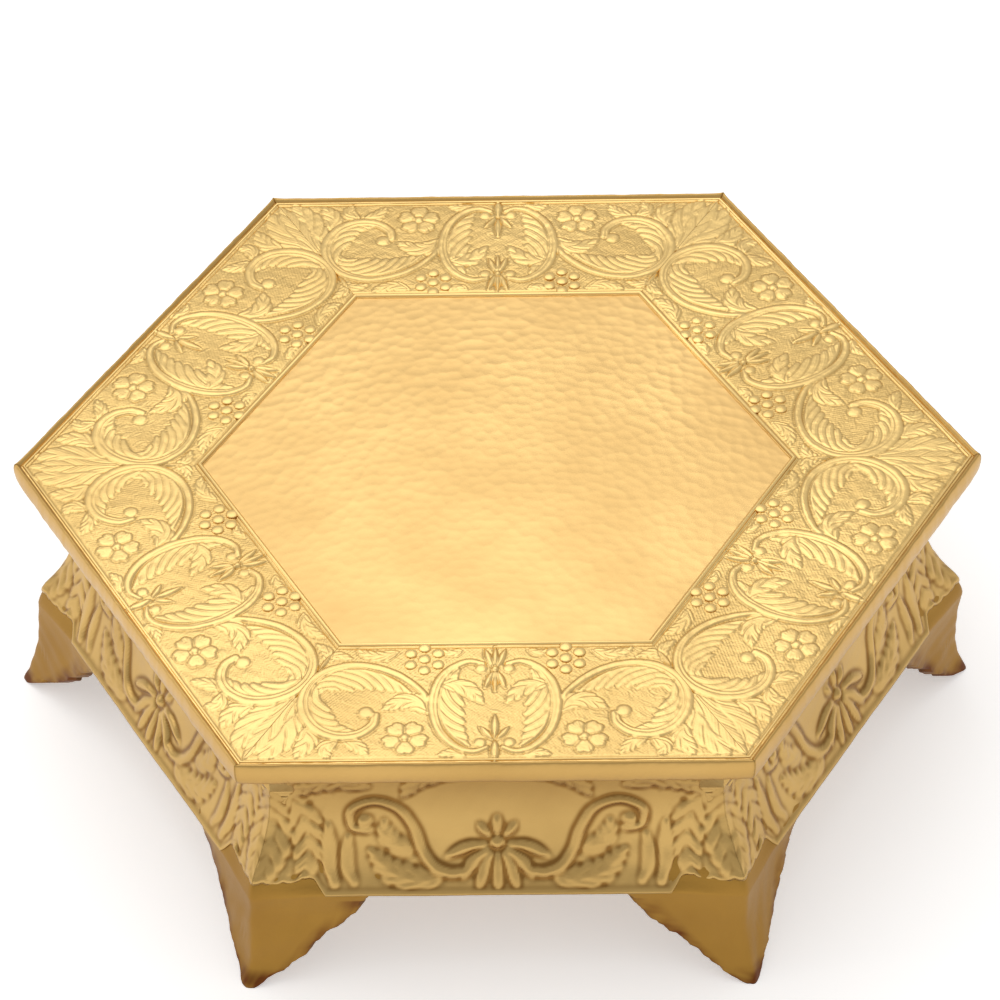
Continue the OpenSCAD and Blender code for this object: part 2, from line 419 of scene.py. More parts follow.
def softened(h, passes=1):
    """Heights worn soft, as thin sheet is that was driven into a pitch bed."""
    for _ in range(passes):
        h = (h + np.roll(h, 1, 0) + np.roll(h, -1, 0)) / 3
        h = (h + np.roll(h, 1, 1) + np.roll(h, -1, 1)) / 3
    return h


def crosshatch(u, v, pitch):
    """Fine matting of punch rows that cross on the slant."""
    return np.cos(2 * np.pi * u / pitch) * np.cos(2 * np.pi * v / pitch)


def border_motif(relief):
    """Half of the scroll border, in (t, r). The other half is its mirror image."""
    r = relief
    # Acanthus that lines the middle medallion
    r.leaf([(18, 138.5), (24, 146), (26, 157), (24.4, 168), (20, 177.5), (12.5, 185)], 12.5, 5, side=1)
    r.leaf([(23.5, 147), (17, 147.5), (11, 151), (5.5, 158.5)], 4.6, 3, lean=1.8)
    # Acanthus that lines the scroll
    inside_scroll = [(85, 156), (83, 145), (75, 138), (64, 136.6), (54, 138.5), (45, 144), (38, 151)]
    r.leaf(inside_scroll, 14.5, 6, 0.5, 2.8, side=-1)
    r.leaf([(82, 147), (84.3, 158), (80.5, 169), (72, 176), (63, 176)], 10.0, 4, 0.5, 2.6, side=1)
    # Leaf that fills the fork between the medallion and the scroll
    r.leaf([(29.5, 164), (34, 158.5), (41, 157.5), (50, 162.5)], 5.2, 3)
    # Long leaves that run out to the corner
    r.leaf([(86, 158), (92, 166), (95, 178), (103, 193)], 8.5, 3, 0.4, 2.6, cut=0.25)
    r.leaf([(88, 155), (98, 166), (104, 178), (112, 192)], 6.5, 3, 0.4, 2.6, cut=0.2)
    r.leaf([(84, 174), (83, 182), (88, 191)], 5.0, 3, 0.4, 2.0)
    r.leaf([(67, 181), (61, 184), (56, 190)], 3.6, 3)
    r.leaf([(70, 181), (75, 186), (73, 192)], 3.8, 3)
    # Sprigs along the inner edge
    r.leaf([(44, 126.5), (51, 129), (58, 127.5), (62, 124.5)], 3.4, 4)
    r.leaf([(84, 139), (78, 131), (71, 128.5), (64, 130.5)], 3.6, 5)
    r.leaf([(15, 126), (20, 127.5), (24, 125.5)], 2.2, 2)
    r.leaf([(13, 192.0), (18, 189.5), (25, 190.5)], 3.0, 3)
    # Scroll stem from the medallion round to its eye
    scroll = [(26.5, 168), (28, 160), (32, 152.5), (38.5, 145), (46.5, 139), (56, 135.3), (66, 134.6)]
    scroll += [(75.5, 138), (82.5, 145), (85.7, 154.5), (84.6, 165), (79, 174), (70, 178.5), (61, 177.5)]
    scroll += [(54.5, 172), (53.2, 166)]
    r.stem(scroll, [0.9, 1.4, 1.7, 1.8, 2.0, 2.4, 2.7, 2.7, 2.4, 2.0], 0.62, furrow=0.4)
    r.knob((57.3, 164.2), 3.3, 0.55, 0.2)
    # Ring of the medallion: a C scroll with an eye at each end
    ring = [(5.5, 134.5), (12, 132.8), (19.5, 137), (25, 145), (27.6, 156)]
    ring += [(27, 167), (23.6, 177.5), (17, 185.5), (9.5, 188.4), (3.6, 186)]
    r.stem(ring, [1.2, 1.8, 2.2, 2.2, 2.1, 1.9, 1.6, 1.2], 0.62, furrow=0.4)
    r.knob((6.2, 137.2), 2.6, 0.5, 0.2)
    r.knob((6.5, 183.2), 2.6, 0.5, 0.2)
    # Fleurs at the two ends of the medallion
    r.lens((0, 182), (0, 195.4), 1.8)
    r.lens((1.0, 181), (6.5, 173.5), 1.3, 0.65)
    r.lens((0, 180), (0, 166.0), 1.6)
    r.lens((0, 136), (0, 151.5), 1.3)
    r.lens((1.2, 139.5), (4.6, 149.5), 1.4)
    r.lens((0.8, 136.5), (4.8, 125.2), 1.5)
    r.lens((0, 136), (0, 123.5), 1.2)
    r.knob((0, 137.5), 1.5, 1.0)
    # Bud at the inner corner
    r.lens((74, 124.8), (80, 137.5), 2.0)
    r.flower((39.8, 179.8), 10.3, 92)


def berry_places():
    """Middle and ring of one berry cluster, in (t, r)."""
    t, r = 31.8, 131.2
    turns = [math.radians(60 * k + 30) for k in range(6)]
    return [(t, r)] + [(t + 7.1 * math.cos(a), r + 7.1 * math.sin(a)) for a in turns]


def skirt_motif(relief):
    """Half of the skirt's leaf garland, in (t, z)."""
    r = relief
    # Leaf sprays that fill the panel behind the garland
    r.leaf([(58, 108), (70, 113), (83, 109), (92, 101)], 7.0, 4, 1.2)
    r.leaf([(14, 116), (25, 116), (36, 110), (42, 101)], 6.0, 4, 1.1)
    r.leaf([(26, 59), (38, 59), (49, 63), (58, 73)], 6.2, 5, 1.3)
    r.leaf([(38, 72), (44, 74), (50, 80), (51, 88)], 5.0, 3, 1.2)
    # Drooping leaves, largest over the corner, and the petals between them
    r.leaf([(108, 106), (104, 93), (102, 78), (106, 58)], 11.0, 6, 1.0, 1.4)
    r.leaf([(93, 101), (87, 89), (85, 74), (88, 57)], 8.0, 5, 1.0, 1.4)
    r.stem([(76, 86), (76, 75), (76, 65), (74, 57)], [1.5, 3.4, 3.6, 1.6], 1.0, 0.3, 0.3)
    r.stem([(67, 80), (68, 72), (68, 64), (65, 57.5)], [1.2, 3.0, 3.2, 1.2], 0.9, 0.3, 0.3)
    # Garland stem from the palmette up to a volute
    garland = [(3, 71), (9, 65.5), (19, 61.6), (28, 64), (34, 72), (37.5, 83), (44, 94), (55, 99), (65, 94)]
    garland += [(65, 85), (58, 83)]
    r.stem(garland, [1.3, 1.9, 2.3, 2.4, 2.3, 2.1, 2.0, 1.8], 1.3, 0.4)
    r.knob((59.5, 87.5), 3.4, 1.4)
    # Palmette: a fan that hangs from a bead, under a small bud
    for points, width in (
        ([(3, 75), (13, 74), (23, 69)], 2.6),
        ([(2.5, 74), (9, 69), (16, 59.5)], 2.9),
        ([(1.4, 73), (5.2, 66), (8.8, 55)], 2.8),
        ([(0, 73), (0, 63), (0, 54)], 2.6),
        ([(0, 79), (0, 84), (0, 90)], 2.2),
        ([(2.5, 78.5), (6, 82), (8, 86)], 1.8),
    ):
        path = smooth_path(points)
        at, d, s, *_ = r.near(path, width + 2)
        w = width * np.sin(np.pi * np.clip(s, 0.02, 0.96) ** 1.25) ** 0.7
        z = 1.5 * dome(d / np.maximum(w, 0.1)) - 0.3 * bell(d, 0.6)
        r.lay(at, w - d, z, 0.45)
    r.knob((0, 76), 3.2, 1.8)


# ---------------------------------------------------------------- materials


def new_material(name, **constants):
    """A material, its tree, its shader with constant inputs set, and Object coordinates."""
    material = bpy.data.materials.new(name)
    material.use_nodes = True
    tree = material.node_tree
    shader = tree.nodes["Principled BSDF"]
    for socket, value in constants.items():
        shader.inputs[socket.replace("_", " ")].default_value = value
    return material, tree, shader, add_node(tree, "ShaderNodeTexCoord").outputs["Object"]


def brass(name, colour, shade_and_wear_colour, roughness, grain_mm, grain_depth, shade_and_wear_attribute=None, hatch_mm=0):
    """Gold-lacquered brass: bright, slightly cloudy, with painted shade in the chased lines and hollows of
    the sheet metal, and worn bare metal on the cast feet.
    """
    material, tree, shader, place = new_material(name, Metallic=1.0)
    # Lacquer pools unevenly over a hand's breadth, so tone and gloss drift over about 60 mm
    drift = add_node(tree, "ShaderNodeTexNoise", {"Vector": place, "Scale": 1000 / 60, "Detail": 3.0})
    tone = add_node(
        tree,
        "ShaderNodeMapRange",
        {"Value": drift.outputs["Fac"], "From Min": 0.35, "From Max": 0.7, "To Min": 0.0, "To Max": 0.16},
    )
    shade = tone.outputs["Result"]
    # The attribute adds painted shade on the border, rim and skirt, and worn bare metal on the cast feet
    if shade_and_wear_attribute:
        hollow = add_node(tree, "ShaderNodeAttribute", attribute_name=shade_and_wear_attribute)
        both = {0: hollow.outputs["Fac"], 1: shade}
        shade = add_node(tree, "ShaderNodeMath", both, operation="ADD", use_clamp=True).outputs[0]
    tones = {"Factor": shade, "A": (*colour, 1.0), "B": (*shade_and_wear_colour, 1.0)}
    mix = add_node(tree, "ShaderNodeMix", tones, data_type="RGBA")
    tree.links.new(mix.outputs["Result"], shader.inputs["Base Color"])
    gloss = {"Value": drift.outputs["Fac"], "From Min": 0.3, "From Max": 0.7}
    gloss.update({"To Min": roughness - 0.05, "To Max": roughness + 0.06})
    gloss = add_node(tree, "ShaderNodeMapRange", gloss)
    tree.links.new(gloss.outputs["Result"], shader.inputs["Roughness"])
    grain = add_node(tree, "ShaderNodeTexNoise", {"Vector": place, "Scale": 1000 / grain_mm, "Detail": 2.0})
    bumps = grain.outputs["Fac"]
    if hatch_mm:
        matting = add_node(tree, "ShaderNodeTexVoronoi", {"Vector": place, "Scale": 1000 / hatch_mm})
        plain = add_node(tree, "ShaderNodeAttribute", attribute_name="plain")
        both = {0: matting.outputs["Distance"], 1: plain.outputs["Fac"]}
        pits = add_node(tree, "ShaderNodeMath", both, operation="MULTIPLY")
        bumps = add_node(tree, "ShaderNodeMath", {0: bumps, 1: pits.outputs[0]}, operation="ADD").outputs[0]
    bump = add_node(tree, "ShaderNodeBump", {"Height": bumps, "Distance": grain_depth * MM, "Strength": 1.0})
    tree.links.new(bump.outputs["Normal"], shader.inputs["Normal"])
    return material


def cast_brass(colour, bare):
    """Sand-cast brass under lacquer: dull skin, fine pits, red metal where the edges were filed."""
    return brass("cast_lacquered_brass", colour, bare, 0.48, 1.8, 0.06, shade_and_wear_attribute="bare")


def plywood():
    """Bare birch plywood: pale, with long grain 3 mm apart."""
    material, tree, shader, place = new_material("birch_plywood", Roughness=0.7)
    stretch = add_node(tree, "ShaderNodeMapping", {"Vector": place, "Scale": (20.0, 330.0, 20.0)})
    grain = add_node(tree, "ShaderNodeTexNoise", {"Vector": stretch.outputs[0], "Scale": 1.0, "Detail": 4.0})
    tones = {"Factor": grain.outputs["Fac"], "A": linear("#C7A878"), "B": linear("#96744A")}
    mix = add_node(tree, "ShaderNodeMix", tones, data_type="RGBA")
    tree.links.new(mix.outputs["Result"], shader.inputs["Base Color"])
    bump = add_node(tree, "ShaderNodeBump", {"Height": grain.outputs["Fac"], "Distance": 0.1 * MM})
    tree.links.new(bump.outputs["Normal"], shader.inputs["Normal"])
    return material


def zinc_steel():
    """Zinc-plated steel screws: grey, faintly blotched."""
    material, tree, shader, place = new_material("zinc_plated_steel", Metallic=1.0, Roughness=0.4)
    spots = add_node(tree, "ShaderNodeTexNoise", {"Vector": place, "Scale": 1000 / 2.5})
    tones = {"Factor": spots.outputs["Fac"], "A": linear("#C9CAC8"), "B": linear("#8F918F")}
    mix = add_node(tree, "ShaderNodeMix", tones, data_type="RGBA")
    tree.links.new(mix.outputs["Result"], shader.inputs["Base Color"])
    return material


MATERIALS = {}


def finish_of(name):
    """The object's materials, each made once."""
    if name not in MATERIALS:
        c = bpy.context.scene.tray_table_colours
        dark, hollow = c.tray_shade, c.skirt_shade
        makers = {
            "hammered": lambda: brass("hammered_lacquered_brass", c.tray, dark, 0.36, 1.0, 0.02),
            "chased": lambda: brass("chased_lacquered_brass", c.border, dark, 0.33, 0.9, 0.05, "painted_shade", 1.1),
            "bead": lambda: brass("drawn_brass_bead", c.border, dark, 0.3, 0.8, 0.02),
            "rim": lambda: brass("rolled_lacquered_brass", c.rim, dark, 0.34, 1.2, 0.03, "painted_shade"),
            "skirt": lambda: brass("embossed_skirt_brass", c.skirt, hollow, 0.34, 1.1, 0.04, "painted_shade"),
            "cast": lambda: cast_brass(c.cast, c.bare_cast),
            "wood": plywood,
            "steel": zinc_steel,
        }
        MATERIALS[name] = makers[name]()
    return MATERIALS[name]


# ---------------------------------------------------------------- geometry node trees


def new_tree(name, inputs):
    """A geometry tree with a Geometry input, the named inputs, and its group nodes."""
    tree = bpy.data.node_groups.new(name, "GeometryNodeTree")
    tree.interface.new_socket("Geometry", in_out="INPUT", socket_type="NodeSocketGeometry")
    for label, kind in inputs:
        tree.interface.new_socket(label, in_out="INPUT", socket_type=kind)
    tree.interface.new_socket("Geometry", in_out="OUTPUT", socket_type="NodeSocketGeometry")
    return tree, add_node(tree, "NodeGroupInput").outputs


def end_tree(tree, geometry, material):
    """Realises, smooths and gives the material, then feeds the tree's output."""
    real = add_node(tree, "GeometryNodeRealizeInstances", {"Geometry": geometry})
    smooth = add_node(tree, "GeometryNodeSetShadeSmooth", {"Geometry": real.outputs[0]})
    painted = add_node(tree, "GeometryNodeSetMaterial", {"Geometry": smooth.outputs[0], "Material": material})
    add_node(tree, "NodeGroupOutput", {0: painted.outputs[0]})


def hammered_sheet_tree():
    """Presses rows of hammer marks into a flat sheet."""
    numbers = ("Mark width", "Mark depth", "Worn depth", "Unevenness", "Row bend", "Row closeness", "Seed")
    inputs = [(name, "NodeSocketFloat") for name in numbers]
    tree, given = new_tree("Hammered sheet", [*inputs, ("Material", "NodeSocketMaterial")])
    place = add_node(tree, "GeometryNodeInputPosition").outputs[0]
    parts = add_node(tree, "ShaderNodeSeparateXYZ", {0: place})
    x, y = parts.outputs["X"], parts.outputs["Y"]
    # Rows of marks bend like the swing of the arm, and a mark is wider than its row is deep
    square = add_node(tree, "ShaderNodeMath", {0: x, 1: x}, operation="MULTIPLY")
    bent = {0: square.outputs[0], 1: given["Row bend"], 2: y}
    bent = add_node(tree, "ShaderNodeMath", bent, operation="MULTIPLY_ADD")
    close = {0: bent.outputs[0], 1: given["Row closeness"]}
    close = add_node(tree, "ShaderNodeMath", close, operation="MULTIPLY")
    rows = add_node(tree, "ShaderNodeCombineXYZ", {"X": x, "Y": close.outputs[0], "Z": given["Seed"]})
    fine = add_node(tree, "ShaderNodeMath", {0: 1.0, 1: given["Mark width"]}, operation="DIVIDE")
    marks = {"Vector": rows.outputs[0], "Scale": fine.outputs[0], "Randomness": given["Unevenness"]}
    marks["Smoothness"] = 0.1
    marks = add_node(tree, "ShaderNodeTexVoronoi", marks, feature="SMOOTH_F1")
    dish = add_node(tree, "ShaderNodeMath", {0: marks.outputs["Distance"], 1: 2.0}, operation="POWER")
    # The marks are worn shallow on the near half, where the tray is used most
    worn = {"Value": y, "From Min": -0.09, "From Max": 0.05}
    worn.update({"To Min": given["Worn depth"], "To Max": given["Mark depth"]})
    worn = add_node(tree, "ShaderNodeMapRange", worn)
    lift = {0: dish.outputs[0], 1: worn.outputs["Result"]}
    lift = add_node(tree, "ShaderNodeMath", lift, operation="MULTIPLY")
    offset = add_node(tree, "ShaderNodeCombineXYZ", {"Z": lift.outputs[0]})
    scaled = add_node(tree, "ShaderNodeVectorMath", {0: offset.outputs[0], "Scale": 3.0}, operation="SCALE")
    moved = {"Geometry": given["Geometry"], "Offset": scaled.outputs[0]}
    moved = add_node(tree, "GeometryNodeSetPosition", moved)
    end_tree(tree, moved.outputs[0], given["Material"])
    return tree


def beads_tree():
    """Stands a squat bead on every point."""
    sizes = [("Radius", "NodeSocketFloat"), ("Squash", "NodeSocketFloat")]
    tree, given = new_tree("Beads on points", [*sizes, ("Material", "NodeSocketMaterial")])
    ball = {"Segments": 20, "Rings": 12, "Radius": given["Radius"]}
    ball = add_node(tree, "GeometryNodeMeshUVSphere", ball)
    scale = add_node(tree, "ShaderNodeCombineXYZ", {"X": 1.0, "Y": 1.0, "Z": given["Squash"]})
    squat = {"Geometry": ball.outputs[0], "Scale": scale.outputs[0]}
    squat = add_node(tree, "GeometryNodeTransform", squat)
    points = add_node(tree, "GeometryNodeMeshToPoints", {"Mesh": given["Geometry"]})
    placed = {"Points": points.outputs[0], "Instance": squat.outputs[0]}
    placed = add_node(tree, "GeometryNodeInstanceOnPoints", placed)
    end_tree(tree, placed.outputs[0], given["Material"])
    return tree


def bead_wire_tree():
    """Sweeps a round wire along the edges it is given."""
    inputs = [("Radius", "NodeSocketFloat"), ("Material", "NodeSocketMaterial")]
    tree, given = new_tree("Bead wire", inputs)
    path = add_node(tree, "GeometryNodeMeshToCurve", {"Mesh": given["Geometry"]})
    section = {"Resolution": 12, "Radius": given["Radius"]}
    section = add_node(tree, "GeometryNodeCurvePrimitiveCircle", section)
    wire = {"Curve": path.outputs[0], "Profile Curve": section.outputs[0]}
    wire = add_node(tree, "GeometryNodeCurveToMesh", wire)
    end_tree(tree, wire.outputs[0], given["Material"])
    return tree


def grown(name, tree, points, edges, faces, inputs):
    """Runs a tree on a base mesh, in millimetres, and returns the plain result."""
    mesh = bpy.data.meshes.new(name + "_base")
    mesh.from_pydata((np.asarray(points) * MM).tolist(), edges, faces)
    base = bpy.data.objects.new(name + "_base", mesh)
    bpy.context.collection.objects.link(base)
    modifier = base.modifiers.new("tree", "NODES")
    modifier.node_group = tree
    for item in tree.interface.items_tree:
        if item.in_out == "INPUT" and item.name in inputs:
            modifier[item.identifier] = inputs[item.name]
    bpy.context.view_layer.update()
    seen = base.evaluated_get(bpy.context.evaluated_depsgraph_get())
    result = bpy.data.meshes.new_from_object(seen)
    result.name = name
    base.modifiers.remove(modifier)
    bpy.data.objects.remove(base)
    obj = bpy.data.objects.new(name, result)
    bpy.context.collection.objects.link(obj)
    if not result.polygons:
        raise RuntimeError(f"{name} came out empty")
    return obj


def settle(obj, slot, *nodes):
    """Rides the piece on the part's one body, in place of its CAD nodes."""
    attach(obj, "root")
    if nodes:
        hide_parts(*nodes)


# ---------------------------------------------------------------- pieces


# The middle's mesh steps from centre to corner, its lap under the border, and how low it lies
CENTRE_STEPS = 168
CENTRE_LAP = 0.3
CENTRE_DROP = 0.55
# How deep the worn hammer marks are, as a share of the fresh ones
WORN_SHARE = 0.5


class TRAYTABLE_OT_hammered_centre(bpy.types.Operator):
    """Makes the hammered middle of the tray"""

    bl_idname = "tray_table.hammered_centre"
    bl_label = "Hammered centre"

    def execute(self, context):
        sizes = context.scene.tray_table_sizes
        reach = (BORDER_IN + CENTRE_LAP) / COS30
        corners = [np.array(corner) for corner in hexagon(COS30)]
        rows = CENTRE_STEPS + 1
        k = np.arange(rows) / CENTRE_STEPS
        points, faces = [], []
        for a, b in ((0, 2), (2, 4), (4, 0)):
            # A rhombus from the centre to three neighbouring corners
            grid = k[:, None, None] * corners[a] + k[None, :, None] * corners[b]
            faces += grid_faces(rows, rows, len(points) * rows**2)
            points.append(grid.reshape(-1, 2) * reach)
        flat = np.concatenate(points)
        z = np.full((len(flat), 1), SHEET_Z - CENTRE_DROP)
        inputs = {"Mark width": sizes.mark_width, "Mark depth": sizes.mark_depth}
        inputs.update({"Worn depth": sizes.mark_depth * WORN_SHARE, "Unevenness": 0.8, "Row bend": 1.6})
        inputs.update({"Row closeness": 1.1, "Seed": 3.0, "Material": finish_of("hammered")})
        tree = hammered_sheet_tree()
        centre = grown("hammered_centre", tree, np.hstack([flat, z]), [], faces, inputs)
        close_underside(centre, SHEET_Z - SHEET_T)
        settle(centre, "embossed_brass", "top_sheet")
        return {"FINISHED"}


def close_underside(obj, z):
    """Merges the sheet's halves, and closes it with a wall down to a flat underside."""
    work = bmesh.new()
    work.from_mesh(obj.data)
    bmesh.ops.remove_doubles(work, verts=work.verts, dist=0.01 * MM)
    rim = [e for e in work.edges if e.is_boundary]
    made = bmesh.ops.extrude_edge_only(work, edges=rim)["geom"]
    low = [v for v in made if isinstance(v, bmesh.types.BMVert)]
    for v in low:
        v.co.z = z * MM
    bmesh.ops.contextual_create(work, geom=[e for e in work.edges if e.is_boundary])
    bmesh.ops.recalc_face_normals(work, faces=work.faces)
    work.to_mesh(obj.data)
    work.free()


# Spacing of the matting's punch rows and of a leaf's finest lines, on the border and the skirt
BORDER_PITCH = 1.9
BORDER_COMB = 1.35
SKIRT_PITCH = 3.2
SKIRT_COMB = 2.5
# How much of the border's height is crisp chasing, and how much is worn soft
CRISP = 0.62
WORN = 0.32
# The border's flat underside, below its ground
BORDER_BACK = 1.1
# Plain margins beside the bead and the rim: place, width and depth
MARGINS = (
    (BORDER_IN, 0.5, 0.5),
    (BEAD_AT + 1.9, 0.45, 0.55),
    (EDGE_BEAD_AT - 1.5, 0.4, 0.5),
    (EDGE_BEAD_AT + 1.5, 0.4, 0.3),
)


class TRAYTABLE_OT_border(bpy.types.Operator):
    """Makes the six chased sides of the border"""

    bl_idname = "tray_table.border"
    bl_label = "Chased border"

    def execute(self, context):
        sizes = context.scene.tray_table_sizes
        step = sizes.border_step / MM
        rows = int((BORDER_END - BORDER_IN) / step) + 1
        columns = int(1.62 * BORDER_IN / step) | 1
        r = np.linspace(BORDER_IN, BORDER_END, rows)[:, None] + np.zeros((1, columns))
        t = np.linspace(-1, 1, columns)[None, :] * r * SLOPE
        drift = 2.5 * lump(7, 34.0, t, r)
        margin = unit((r - BEAD_AT - 2.4) / 0.8) * unit((EDGE_BEAD_AT - 1.9 - r) / 0.8)
        matting = crosshatch(t + drift, r - drift, BORDER_PITCH) * margin
        ground = 0.13 * matting - 0.07
        relief = Relief(np.abs(t), r, ground, BORDER_COMB)
        border_motif(relief)
        h = relief.h.reshape(rows, columns)
        h = CRISP * h + WORN * softened(h)
        for at, width, depth in MARGINS:
            h -= depth * bell(r - at, width)
        relief.h = h.ravel()
        # Painted shade: darker in the chased lines, and on the low matted ground between the motifs, most in
        # the matting's pits
        painted_shade = relief.painted_shade((rows, columns)) * 0.45
        painted_shade = painted_shade + (relief.plain.reshape(rows, columns) * margin * (0.2 - 0.14 * matting)).ravel()
        loop = grid_edge(rows, columns)
        n, m = rows * columns, len(loop)
        order = np.arange(m)
        after = np.roll(order, -1)
        wall = np.stack([loop[after], loop[order], n + order, n + after], -1).tolist()
        faces = grid_faces(rows, columns) + wall + [(n + order[::-1]).tolist()]
        for i in SIDES:
            wave = 0.18 * lump(i, 45.0, t, r) + 0.05 * lump(i + 20, 9.0, t, r)
            # The waver dies out towards the edges, so that neighbouring sides meet
            fade = unit((r * SLOPE - np.abs(t)) / 6) * unit((r - BORDER_IN) / 4)
            z = SHEET_Z + h * sizes.relief + wave * fade
            top = np.stack([r, t, z], -1)
            low = np.stack([r, t, np.full_like(z, SHEET_Z - BORDER_BACK)], -1)
            points = np.concatenate([top.reshape(-1, 3), low.reshape(-1, 3)[loop]])
            side = mesh_object(f"border_side_{i}", turned(points, side_angle(i)), faces, finish_of("chased"))
            store(side, "painted_shade", np.concatenate([painted_shade, np.zeros(m)]))
            store(side, "plain", np.concatenate([relief.plain, np.zeros(m)]))
            settle(side, "embossed_brass", "top_sheet")
        return {"FINISHED"}


# A berry's height as a share of its width, and its middle above the ground
BERRY_SQUASH = 0.27
BERRY_LIFT = 0.15
# The edge bead's size as a share of the centre bead's
EDGE_BEAD_SHARE = 0.62


class TRAYTABLE_OT_beads(bpy.types.Operator):
    """Makes the berries of the border and the beads that frame it"""

    bl_idname = "tray_table.beads"
    bl_label = "Berries and beads"

    def execute(self, context):
        sizes = context.scene.tray_table_sizes
        flat = np.array([(r, s * t, SHEET_Z + BERRY_LIFT) for s in (-1, 1) for t, r in berry_places()])
        points = np.concatenate([turned(flat, side_angle(i)) for i in SIDES])
        inputs = {"Radius": sizes.berry_radius, "Squash": BERRY_SQUASH, "Material": finish_of("bead")}
        berries = grown("border_berries", beads_tree(), points, [], [], inputs)
        settle(berries, "embossed_brass", "top_sheet")
        tree = bead_wire_tree()
        ring = [(k, (k + 1) % 6) for k in range(6)]
        for name, out, radius, z in (
            ("centre_bead", BEAD_AT, sizes.bead_radius, SHEET_Z - 0.35),
            ("edge_bead", EDGE_BEAD_AT, sizes.bead_radius * EDGE_BEAD_SHARE, SHEET_Z - 0.1),
        ):
            corners = [(x, y, z) for x, y in hexagon(out)]
            inputs = {"Radius": radius, "Material": finish_of("bead")}
            wire = grown(name, tree, corners, ring, [], inputs)
            settle(wire, "embossed_brass", "top_sheet")
        return {"FINISHED"}


def rim_section():
    """The rim's closed section as [out from the rim's widest point, down from its top]."""
    roll = [(-3.6, -1.7), (-2.7, -0.6), (-1.7, 0.0), (-0.9, -0.7), (-0.25, -3.2), (0, -6.4)]
    roll += [(-0.3, -9.4), (-1.1, -11.6), (-2.6, -12.5)]
    face = smooth_path(roll, 5)
    lip = [(-11.0, -12.5), (-11.0, -11.4), (-4.4, -11.4), (-4.4, -1.7)]
    return np.vstack([face, lip]), len(face)


# Mesh columns along one length of the rim, and how far its mitred ends are pinched up
RIM_COLUMNS = 261
PINCH = 0.5


class TRAYTABLE_OT_rim(bpy.types.Operator):
    """Makes the six mitred lengths of the rolled rim"""

    bl_idname = "tray_table.rim"
    bl_label = "Rolled rim"

    def execute(self, context):
        section, face_count = rim_section()
        columns = RIM_COLUMNS
        s = np.linspace(-1, 1, columns)
        for i in SIDES:
            u = RIM_OUT + section[:, :1] + np.zeros((1, columns))
            z = TOP + section[:, 1:] + np.zeros((1, columns))
            t = s[None, :] * u * SLOPE
            outer = np.zeros_like(u)
            outer[:face_count] = np.linspace(0, 1, face_count)[:, None] ** 0.25
            outer[:4] = 0
            # The roll wavers a little, and is pinched up where two lengths meet
            ends = unit((np.abs(s[None, :]) - 0.86) / 0.14)
            waver = 0.22 * lump(40 + i, 38.0, t) * (1 - ends) + 0.1 * lump(50 + i, 11.0, t, z) * (1 - ends)
            upper = unit((z - TOP + 7) / 7)
            pinch = ends**6
            u2 = u + outer * (waver + PINCH * pinch * upper - 0.6 * ends**3 * (1 - upper))
            z2 = z + outer * (0.1 * waver + PINCH * pinch * upper)
            t2 = s[None, :] * u2 * SLOPE
            count = len(section)
            points = turned(np.stack([u2, t2, z2], -1).reshape(-1, 3), side_angle(i))
            k = np.arange(count * columns).reshape(count, columns)
            k = np.concatenate([k, k[:1]], 0)
            quads = np.stack([k[:-1, 1:], k[:-1, :-1], k[1:, :-1], k[1:, 1:]], -1).reshape(-1, 4).tolist()
            caps = [k[:-1, 0].tolist()[::-1], k[:-1, -1].tolist()]
            rim = mesh_object(f"rolled_rim_{i}", points, quads + caps, finish_of("rim"))
            # Painted shade along the crease where two lengths meet, and on the roll's lower half, which faces
            # down
            mitre_shade = unit(1 - (u * SLOPE - np.abs(t)) / 1.2) * 0.5
            rim_underside_shade = unit((TOP - 4 - z) / 8) * 0.42
            store(rim, "painted_shade", (outer * (mitre_shade + rim_underside_shade)).ravel())
            point_out(rim)
            settle(rim, "rim_brass", f"rim_length_{i}")
        return {"FINISHED"}


def point_out(obj):
    """Turns the faces of a closed mesh outwards."""
    work = bmesh.new()
    work.from_mesh(obj.data)
    bmesh.ops.recalc_face_normals(work, faces=work.faces)
    work.to_mesh(obj.data)
    work.free()


def cove(z):
    """Distance out of the skirt's face at a height."""
    drop = np.clip(FLARE_Z - z, 0, FLARE_DZ)
    return UPRIGHT_OUT + FLARE_R - np.sqrt(FLARE_R**2 - drop**2)


def cove_lean(z):
    """The face's outward direction at a height, as its share outwards and its share upwards."""
    drop = np.clip(FLARE_Z - z, 0, FLARE_DZ)
    return np.sqrt(1 - (drop / FLARE_R) ** 2), drop / FLARE_R


# The corner's knee: how proud it stands, how far up from the hem, how tall, and how deep the dip above it
KNEE_PROUD = 4.7
KNEE_UP = 8
KNEE_TALL = 11.5
KNEE_DIP = 1.5
# Distance from the corner at which the knee and the corner leaves die out
CORNER_WIDE = 30
# How the hem rises over a foot: distance from the corner, and height above the plain hem
LIFT_AT = (0, 5, 10, 15, 20, 24, 27, 30, 33)
LIFT = (9.5, 8.5, 7.5, 7.5, 8.5, 9.5, 7.0, 3.0, 0.0)
# How much bolder the skirt's relief is than it is drawn
SKIRT_BOLD = 1.35


def knee(from_corner, z):
    """How far the corner stands proud of the cove, like the knee of a cabriole leg."""
    dip = KNEE_DIP * unit((z - HEM_Z - 24) / 12)
    swell = KNEE_PROUD * bell(z - HEM_Z - KNEE_UP, KNEE_TALL) - dip
    return swell * unit(1 - from_corner / CORNER_WIDE) ** 1.2


